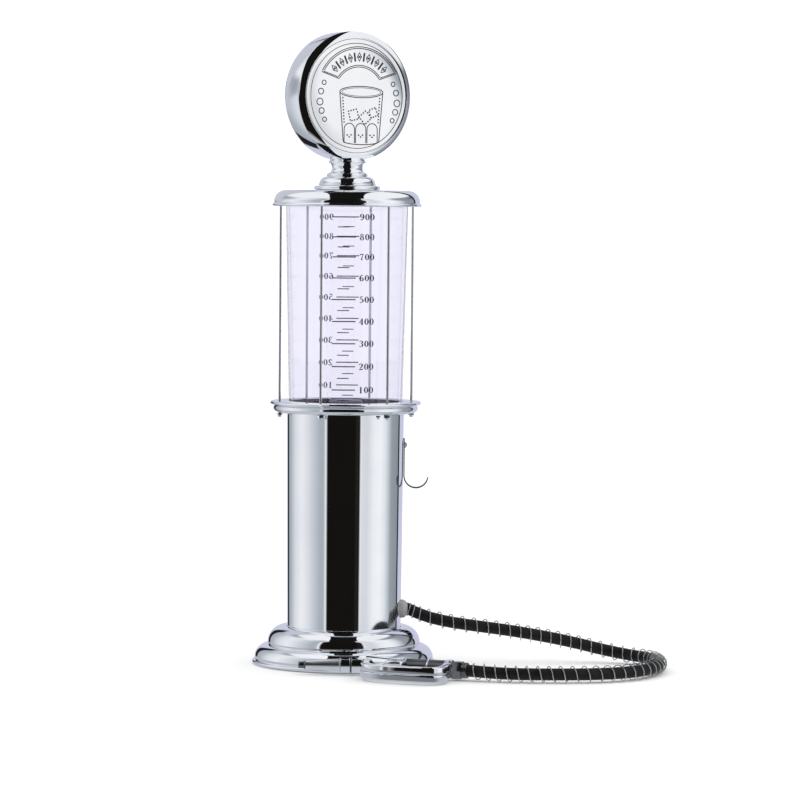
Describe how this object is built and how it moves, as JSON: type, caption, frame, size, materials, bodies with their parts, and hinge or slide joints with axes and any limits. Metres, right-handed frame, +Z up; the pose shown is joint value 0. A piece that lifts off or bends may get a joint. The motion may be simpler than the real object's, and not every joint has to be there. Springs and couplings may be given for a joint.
{
  "type": "drinks dispenser shaped like a vintage gas pump",
  "caption": "Chrome-plated pump-shaped drinks dispenser: stepped base, column, clear graduated tank with tie rods, lift-out globe plug, side hook and a wire-guarded hose with a trigger nozzle.",
  "frame": {"origin": "middle of the anti-slip pad's underside, on the column's axis", "axes": "+Z up along the column; -Y is the front, where the tank's scale faces; +X is the side with the hook and the hose"},
  "size_m": [0.3175, 0.2097, 0.4852],
  "materials": {
    "chrome_plate": "mirror plated",
    "face_chrome": "mirror plated, engraved lines",
    "bright_steel": "polished",
    "dark_steel": "polished, dark plated",
    "guard_wire": "bright drawn wire",
    "zinc_steel": "satin",
    "clear_plastic": "clear, polished, faint lilac tint",
    "white_plastic": "satin",
    "grey_plastic": "satin",
    "black_plastic": "fine grain",
    "white_seal": "matt",
    "black_rubber": "matt",
    "pad_rubber": "matt, fine grain",
    "hose_rubber": "semi-matt"
  },
  "bodies": {
    "pump": {"base_shell": "chrome_plate", "base_plate": "black_plastic", "base_pad": "pad_rubber", "base_screws": "zinc_steel", "column_foot_ring": "black_plastic", "column_screws": "zinc_steel", "column_shell": "chrome_plate", "collar_ring": "chrome_plate", "lower_gasket": "white_seal", "tank": "clear_plastic", "tank_outlet": "white_plastic", "outlet_seal": "black_rubber", "outlet_nut": "white_plastic", "feed_tube": "hose_rubber", "outlet_elbow": "white_plastic", "elbow_locknut": "white_plastic", "hose_grommet": "grey_plastic", "hook_strip": "bright_steel", "hook_screw": "bright_steel", "hook_nut": "zinc_steel", "tie_rods": "bright_steel", "rod_nuts": "bright_steel", "cap_dome": "chrome_plate", "cap_gasket": "white_seal", "hose": "hose_rubber", "hose_guard": "guard_wire"},
    "filler_plug": {"plug_body": "chrome_plate", "plug_seal": "black_rubber"},
    "globe": {"neck_pedestal": "chrome_plate", "neck_screw": "zinc_steel", "globe_screw": "zinc_steel", "globe_drum": "chrome_plate", "globe_bezel_front": "chrome_plate", "globe_bezel_rear": "chrome_plate", "globe_face_front": "face_chrome", "globe_face_rear": "face_chrome"},
    "nozzle": {"nozzle_shell_upper": "chrome_plate", "nozzle_shell_lower": "chrome_plate", "grip_tube": "dark_steel", "spout": "chrome_plate", "spout_collar_front": "chrome_plate", "spout_collar_rear": "chrome_plate", "spout_band": "bright_steel", "spout_tip": "dark_steel", "valve_seat": "black_rubber", "valve_spring": "guard_wire", "trigger_pin": "zinc_steel", "shell_screws": "zinc_steel", "hose_nut": "dark_steel", "hose_ferrule": "dark_steel", "hose_barb": "zinc_steel"},
    "trigger": {"trigger": "chrome_plate"},
    "valve": {"valve_stem": "zinc_steel"}
  },
  "joints": [
    {"name": "plug_lift", "type": "slide", "parent": "pump", "child": "filler_plug", "axis": [0, 0, 1], "range_m": [0, 0.05]},
    {"name": "globe_turn", "type": "hinge", "parent": "filler_plug", "child": "globe", "pos_m": [0, 0, 0.3676], "axis": [0, 0, 1], "continuous": true},
    {"name": "nozzle_lift", "type": "slide", "parent": "pump", "child": "nozzle", "axis": [0, 0, 1], "range_m": [0, 0.08], "deforming": ["hose", "hose_guard"]},
    {"name": "trigger_squeeze", "type": "hinge", "parent": "nozzle", "child": "trigger", "pos_m": [0.0394, -0.09683, 0.0076], "axis": [0, 0, 1], "range_deg": [0, 18], "stiffness_Nm_per_rad": 0.15, "springref_deg": -8.59},
    {"name": "valve_slide", "type": "slide", "parent": "nozzle", "child": "valve", "axis": [-0.9397, 0.342, 0], "range_m": [0, 0.0034], "deforming": ["valve_spring"]}
  ],
  "couplings": [
    {"joint": "valve_slide", "follows": "trigger_squeeze", "m_per_rad": 0.0108}
  ]
}
